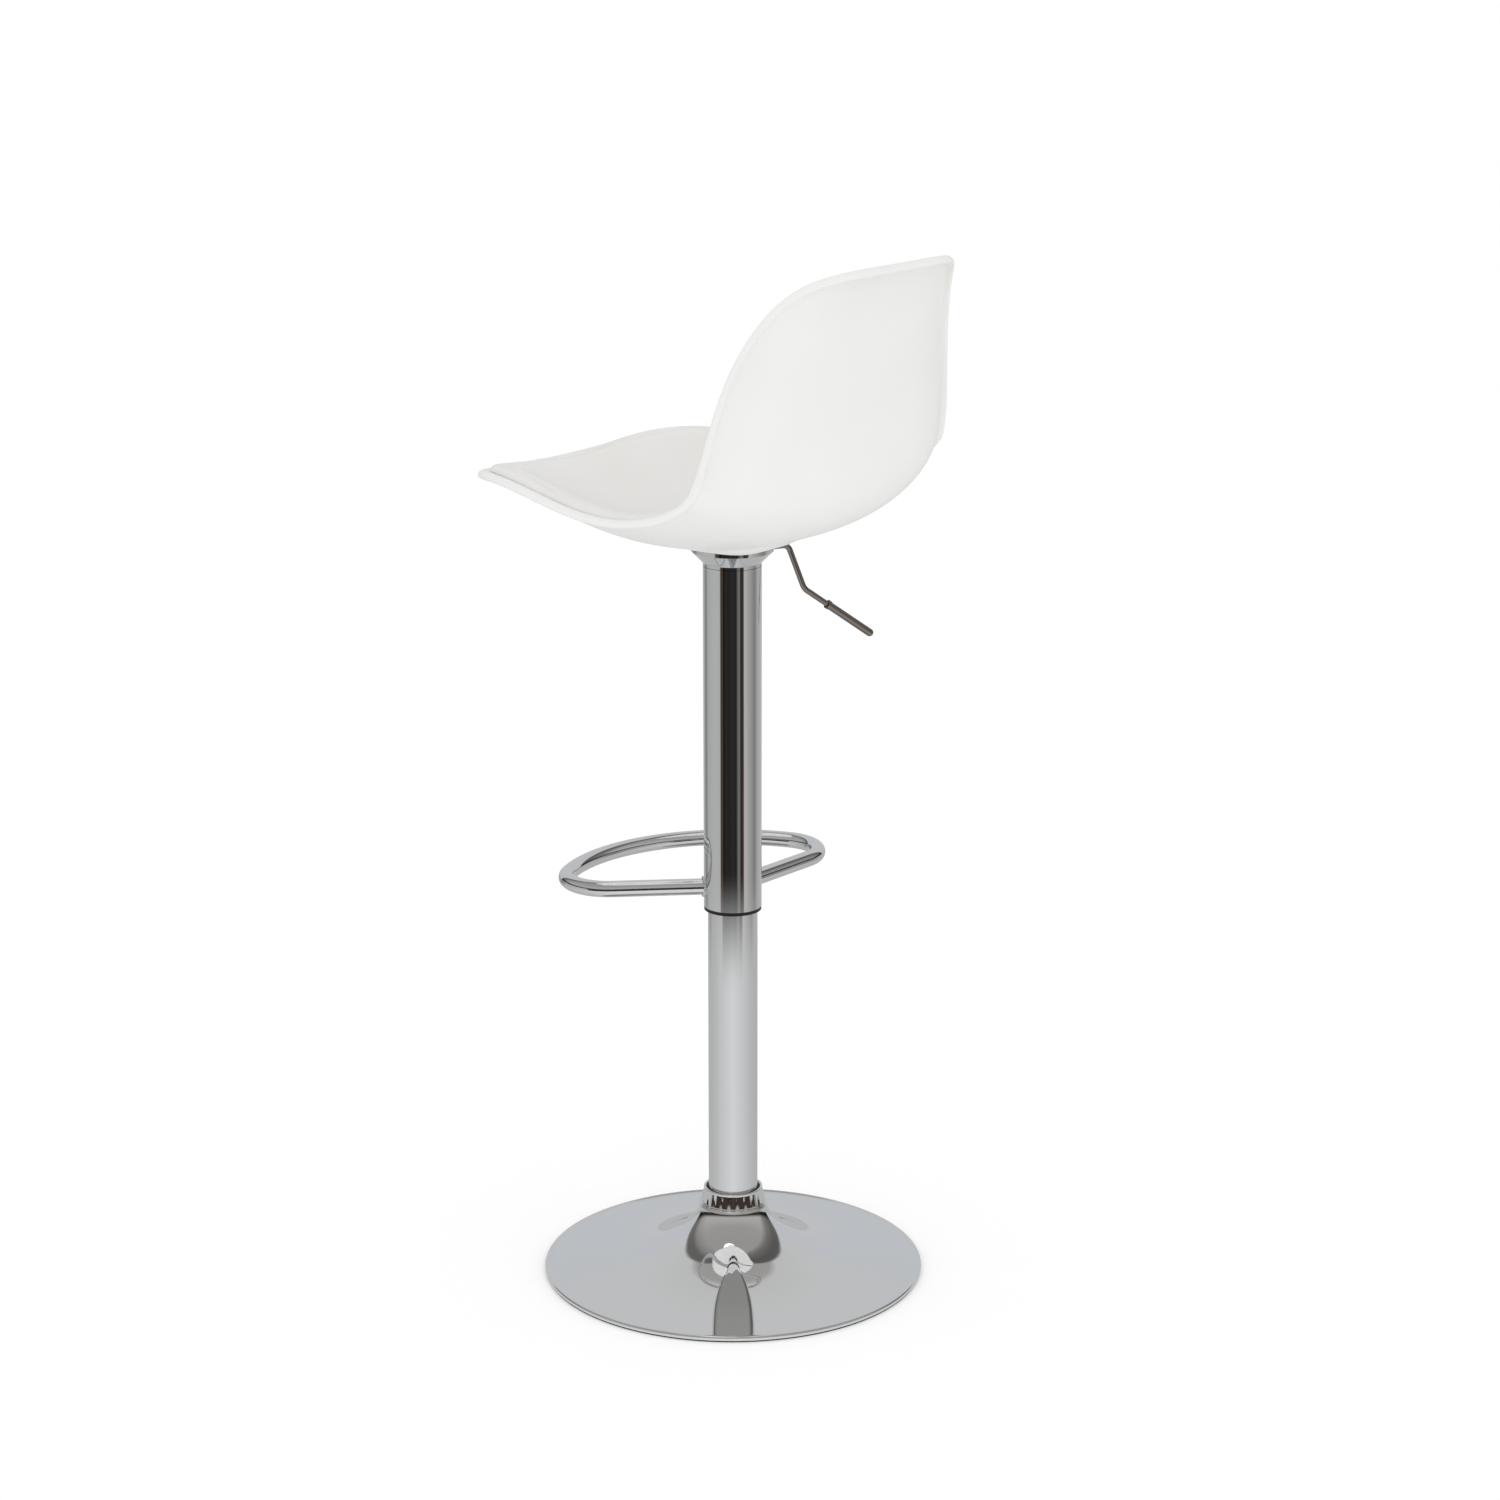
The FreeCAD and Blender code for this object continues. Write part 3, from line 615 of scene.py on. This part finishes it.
def neckCollar():
    # screwed collar: a rolled lower edge, a tapered wall with soft oval finger dents, a rounded top
    look = {  # mm and degrees
        "bore": 27.6, "boreDrop": 2.0, "skirt": 34.5, "skirtBreak": (0.5, 0.6), "neck": 76.0, "taper": 4.9,
        "roll": 1.6, "rollStart": -90, "rollSweep": 150, "rollTop": 3.4,
        "wallFoot": (1.5, 3.0), "wallHead": (0.9, 1.8),  # in from the edge and up, in and down
        "crown": 1.4, "crownIn": 1.9, "crownStart": 20, "crownSweep": 160,
        "dentDepth": 0.5, "dentIn": 2.2, "dentFoot": 3.6, "dentHead": 2.6,
        "dents": 24, "dentOverlap": 0.2, "wallRows": 15, "arcSteps": 8, "turns": 576,  # counts, a share
    }
    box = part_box("neck_collar")
    low, high = box[0][2] / mm, box[1][2] / mm
    bottom = box[1][0] / mm
    top = bottom - look["taper"]
    skirt, bore, neck, roll, crown = (look[name] for name in ("skirt", "bore", "neck", "roll", "crown"))
    out, up = look["skirtBreak"]
    outline = [(skirt, low + up), (skirt + out, low)]
    outline += arcPoints(bottom - roll, low + roll, roll,
                         look["rollStart"], look["rollSweep"], look["arcSteps"])
    outline.append((bottom - roll, low + look["rollTop"]))
    foot = (bottom - look["wallFoot"][0], low + look["wallFoot"][1])
    head = (top - look["wallHead"][0], high - look["wallHead"][1])
    for i in range(1, look["wallRows"] + 1):
        share = i / look["wallRows"]
        outline.append([start + (end - start) * share for start, end in zip(foot, head)])
    outline += arcPoints(top - look["crownIn"], high - crown, crown,
                         look["crownStart"], look["crownSweep"], look["arcSteps"])
    outline += [(bore, high - look["boreDrop"]), (bore, neck), (skirt, neck)]

    def dent(angle, radius, height):
        tall = high - low - look["dentFoot"] - look["dentHead"]
        share = (height - low - look["dentFoot"]) / tall
        if not 0 < share < 1 or radius < top - look["dentIn"]:
            return 0.0
        overlap = look["dentOverlap"]
        inside = max(0.0, math.cos(angle * look["dents"]) + overlap) / (1 + overlap)
        return look["dentDepth"] * inside * math.sin(math.pi * share)
    collar = turnedPiece("neckCollarDented", outline, look["turns"], "base", chrome, dent)
    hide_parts("neck_collar")


baseShell()
neckCollar()
print("base made")


def footrestWelds():
    # one rippled fillet bead where each bar meets the sleeve, plated over
    look = {"turn": 245.0, "halfAngle": 67.5, "bar": 8.5, "barSink": 0.1, "sleeveSink": 0.2, "leg": 2.1,
            "ripples": 26, "ripple": 0.22, "wander": 0.06, "wanders": 3,
            "centre": 0.45, "round": 0.55,  # the bead's section, as shares of its leg
            "around": 156, "across": 10}
    low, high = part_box("footrest_loop")
    height = (low[2] + high[2]) / 2
    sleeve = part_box("sleeve_tube")[1][0] / mm
    bar = look["bar"] - look["barSink"]
    up = np.array([0, 0, 1.0])
    around, across = look["around"], look["across"]
    points, faces = [], []
    for side in (-1, 1):
        turn = math.radians(look["turn"] + side * look["halfAngle"])
        out = np.array([math.cos(turn), math.sin(turn), 0.0])
        beside = np.array([-math.sin(turn), math.cos(turn), 0.0])
        base = len(points)
        for i in range(around):
            angle = 2 * math.pi * i / around
            spoke = beside * math.cos(angle) + up * math.sin(angle)
            ripple = look["ripple"] * abs(math.sin(angle * look["ripples"] / 2))
            wander = look["wander"] * math.sin(look["wanders"] * angle + side)
            leg = look["leg"] * (1 + ripple + wander)
            for j in range(across):
                turned = 2 * math.pi * j / across
                reach = bar + leg * (look["centre"] + look["round"] * math.cos(turned))
                away = leg * (look["centre"] + look["round"] * math.sin(turned)) - look["sleeveSink"]
                foot = math.sqrt(sleeve ** 2 - (reach * math.cos(angle)) ** 2)
                points.append((out * (foot + away) + spoke * reach) * mm + up * height)
        for i in range(around):
            a, b = base + i * across, base + (i + 1) % around * across
            for j in range(across):
                m = (j + 1) % across
                faces.append((a + j, b + j, b + m, a + m))
    welds = makePiece("footrestWeldBeads", points, faces, "footrest_sleeve", tubeChrome)
    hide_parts("footrest_welds")


footrestWelds()
print("welds made")

cameraLook = {"azimuth": 37.4, "distance": 3.5335, "height": 1.5202, "pitch": 15.08, "yaw": 0.29,
              "lens": 85.6, "sensor": 36, "sight": 200}  # degrees and metres, lens and sensor in mm


def placeCamera():
    turn = math.radians(cameraLook["azimuth"])
    data = bpy.data.cameras.new("camera")
    data.lens = cameraLook["lens"]
    data.sensor_width = cameraLook["sensor"]
    data.clip_end = cameraLook["sight"]
    camera = bpy.data.objects.new("camera", data)
    bpy.context.scene.collection.objects.link(camera)
    away = cameraLook["distance"]
    camera.location = (away * math.cos(turn), away * math.sin(turn), cameraLook["height"])
    heading = turn + math.pi - math.radians(cameraLook["yaw"])
    pitch = math.radians(cameraLook["pitch"])
    level = math.cos(pitch)
    ahead = Vector((math.cos(heading) * level, math.sin(heading) * level, -math.sin(pitch)))
    camera.rotation_euler = ahead.to_track_quat("-Z", "Y").to_euler()
    bpy.context.scene.camera = camera


def stageDisc(name, radius, height, material, hole=0.0, steps=128):
    points, faces = [], []
    for i in range(steps):
        turn = 2 * math.pi * i / steps
        for reach in (radius, hole):
            points.append((reach * math.cos(turn), reach * math.sin(turn), height))
        j = (i + 1) % steps
        faces.append((2 * i, 2 * j, 2 * j + 1, 2 * i + 1))
    mesh = bpy.data.meshes.new(name)
    mesh.from_pydata(points, [], faces)
    mesh.materials.append(material)
    disc = bpy.data.objects.new(name, mesh)
    bpy.context.scene.collection.objects.link(disc)
    return disc


def towardLens(tree, vector):
    # a place's or direction's angle about the column, as a share of a turn, 0.5 on the lens side,
    # and its X, Y and Z seen that way round
    turned = addNode(tree, "ShaderNodeVectorRotate",
                     {"rotation_type": "Z_AXIS", "Angle": -math.radians(cameraLook["azimuth"])},
                     {"Vector": vector})
    axes = addNode(tree, "ShaderNodeSeparateXYZ", None, {"Vector": turned.outputs["Vector"]}).outputs
    angle = addNode(tree, "ShaderNodeMath", {"operation": "ARCTAN2"}, {0: axes["Y"], 1: axes["X"]})
    share = addNode(tree, "ShaderNodeMapRange", {"From Min": -math.pi, "From Max": math.pi},
                    {"Value": angle.outputs["Value"]})
    return share.outputs["Result"], axes


mixFactor, mixFirst, mixSecond, mixColour = 0, 6, 7, 2  # sockets of a Mix node that mixes colours


def makeFloor():
    # seamless pale paper, with a little glow so that it fades into the white behind
    look = {"radius": 60.0, "colour": "#f8f8f8", "roughness": 0.9, "specular": 0.1, "glow": 0.08}
    paper = newMaterial("palePaper", {"Base Color": toLinear(look["colour"]), "Roughness": look["roughness"],
                                      "Specular IOR Level": look["specular"],
                                      "Emission Color": (1.0, 1.0, 1.0, 1.0),
                                      "Emission Strength": look["glow"]})[0]
    stageDisc("floor", look["radius"], 0.0, paper)


def makeStudioCards():
    # what polished metal sees of the studio floor: paper near the stool, a dark aisle on the lens side
    # between two pale boards, thin dark gaps at the sides; only reflections see it
    look = {
        "radius": 40.0, "hole": 0.02, "lift": 0.0004, "aisleStart": 1.2, "aisleSoft": 0.28,  # metres
        # round the column: share of a turn and brightness
        "near": [(0.0, 0.50), (0.12, 0.52), (0.25, 0.58), (0.38, 0.70), (0.5, 0.80), (0.62, 0.70),
                 (0.75, 0.58), (0.88, 0.52), (1.0, 0.50)],
        "far": [(0.0, 0.60), (0.10, 0.46), (0.145, 0.22), (0.19, 0.46), (0.29, 0.52),
                (0.36, (0.50, 0.50, 0.49)), (0.371, (0.05, 0.035, 0.025)), (0.392, (0.09, 0.065, 0.045)),
                (0.40, 0.004), (0.425, (0.03, 0.025, 0.02)), (0.46, 0.02), (0.50, 0.028), (0.54, 0.02),
                (0.565, (0.20, 0.19, 0.18)), (0.575, (0.20, 0.19, 0.18)), (0.59, (0.03, 0.02, 0.02)),
                (0.62, (0.06, 0.05, 0.045)), (0.632, (0.55, 0.54, 0.52)), (0.67, (0.46, 0.45, 0.43)),
                (0.77, 0.24), (0.82, 0.46), (1.0, 0.60)],
    }
    material, tree = emptyMaterial("studioCards")
    place = addNode(tree, "ShaderNodeNewGeometry").outputs["Position"]
    share = towardLens(tree, place)[0]
    near = addNode(tree, "ShaderNodeValToRGB", {"stops": look["near"]}, {"Fac": share})
    far = addNode(tree, "ShaderNodeValToRGB", {"stops": look["far"]}, {"Fac": share})
    distance = addNode(tree, "ShaderNodeVectorMath", {"operation": "LENGTH"}, {0: place})
    aisle = addNode(tree, "ShaderNodeMapRange",
                    {"interpolation_type": "SMOOTHSTEP", "From Min": look["aisleStart"] - look["aisleSoft"],
                     "From Max": look["aisleStart"] + look["aisleSoft"]},
                    {"Value": distance.outputs["Value"]})
    mix = addNode(tree, "ShaderNodeMix", {"data_type": "RGBA"},
                  {mixFactor: aisle.outputs["Result"], mixFirst: near.outputs["Color"],
                   mixSecond: far.outputs["Color"]})
    glow = addNode(tree, "ShaderNodeEmission", None, {"Color": mix.outputs[mixColour]})
    addNode(tree, "ShaderNodeOutputMaterial", None, {"Surface": glow.outputs["Emission"]})
    card = stageDisc("studioCards", look["radius"], look["lift"], material, look["hole"])
    for way in ("camera", "diffuse", "shadow", "transmission", "volume_scatter"):
        setattr(card, "visible_" + way, False)


def makeWorld():
    # white tent: plain white to the eye and for soft light; reflections see a dim room on the lens
    # side and overhead, and pale cloth behind
    look = {
        # round the column, share of a turn: where the lens side begins and ends, and its dim corners
        "lensSide": [(0.13, 0.0), (0.138, 1.0), (0.862, 1.0), (0.87, 0.0)],
        "corners": [(0.130, 1.0), (0.138, 0.38), (0.160, 0.38), (0.185, 0.75), (0.24, 1.0), (0.76, 1.0),
                    (0.80, 0.50), (0.84, 0.30), (0.862, 0.30), (0.870, 1.0)],
        # from the horizon to straight up: the cloth behind, and the room on the lens side
        "behind": [(0.0, (0.60, 0.60, 0.61)), (0.30, (0.60, 0.62, 0.65)), (0.60, 0.63),
                   (0.84, (0.60, 0.60, 0.59)), (0.88, (0.40, 0.39, 0.38)), (1.0, (0.36, 0.35, 0.34))],
        "before": [(0.0, (0.04, 0.03, 0.025)), (0.13, (0.05, 0.04, 0.035)), (0.19, (0.30, 0.28, 0.27)),
                   (0.27, (0.48, 0.47, 0.46)), (0.45, (0.46, 0.45, 0.44)), (0.70, (0.38, 0.37, 0.35)),
                   (1.0, (0.36, 0.35, 0.34))],
    }
    world = bpy.data.worlds.new("whiteTent")
    bpy.context.scene.world = world
    world.use_nodes = True
    tree = world.node_tree
    tree.nodes.clear()
    way = addNode(tree, "ShaderNodeTexCoord").outputs["Generated"]
    share, axes = towardLens(tree, way)
    height = addNode(tree, "ShaderNodeMapRange", {"From Min": 0.0, "From Max": 1.0}, {"Value": axes["Z"]})
    up = height.outputs["Result"]
    ramps = {}
    for name, factor in (("lensSide", share), ("corners", share), ("behind", up), ("before", up)):
        ramp = addNode(tree, "ShaderNodeValToRGB", {"stops": look[name]}, {"Fac": factor})
        ramps[name] = ramp.outputs["Color"]
    seen = addNode(tree, "ShaderNodeMix", {"data_type": "RGBA"},
                   {mixFactor: ramps["lensSide"], mixFirst: ramps["behind"], mixSecond: ramps["before"]})
    dimmed = addNode(tree, "ShaderNodeMix", {"data_type": "RGBA", "blend_type": "MULTIPLY", mixFactor: 1.0},
                     {mixFirst: seen.outputs[mixColour], mixSecond: ramps["corners"]})
    plain = addNode(tree, "ShaderNodeBackground", {"Color": (1.0, 1.0, 1.0, 1.0), "Strength": 1.0})
    mirrored = addNode(tree, "ShaderNodeBackground", {"Strength": 1.0}, {"Color": dimmed.outputs[mixColour]})
    ray = addNode(tree, "ShaderNodeLightPath")
    both = addNode(tree, "ShaderNodeMixShader", None,
                   {0: ray.outputs["Is Glossy Ray"], 1: plain.outputs["Background"],
                    2: mirrored.outputs["Background"]})
    addNode(tree, "ShaderNodeOutputWorld", None, {"Surface": both.outputs["Shader"]})


def makeLensBank():
    # a wide soft lamp above the lens side that shapes the white seat and isn't mirrored in the metal
    look = {"place": (3.0, 3.2, 2.2), "target": (0, 0, 0.8), "size": 2.5, "power": 7}  # metres, watts
    data = bpy.data.lights.new("lensBank", "AREA")
    data.shape = "DISK"
    data.size = look["size"]
    data.energy = look["power"]
    light = bpy.data.objects.new("lensBank", data)
    bpy.context.scene.collection.objects.link(light)
    light.location = look["place"]
    ahead = Vector(look["target"]) - Vector(look["place"])
    light.rotation_euler = ahead.to_track_quat("-Z", "Y").to_euler()
    light.visible_glossy = False
    light.visible_camera = False


def makeTopBank():
    # the pale panel overhead that polished metal mirrors as a small bright patch
    look = {"radius": 0.34, "height": 3.0, "place": (0.55, 0.10), "colour": (0.95, 1.0, 0.97, 1.0),
            "strength": 1.5}
    material, tree = emptyMaterial("topBank")
    glow = addNode(tree, "ShaderNodeEmission", {"Color": look["colour"], "Strength": look["strength"]})
    addNode(tree, "ShaderNodeOutputMaterial", None, {"Surface": glow.outputs["Emission"]})
    panel = stageDisc("topBank", look["radius"], look["height"], material)
    panel.location = (*look["place"], 0.0)
    for way in ("camera", "diffuse", "shadow"):
        setattr(panel, "visible_" + way, False)


placeCamera()
makeFloor()
makeStudioCards()
makeWorld()
makeLensBank()
makeTopBank()
bpy.context.scene.view_settings.view_transform = "Standard"
bpy.context.scene.view_settings.look = "None"
print("stage made")
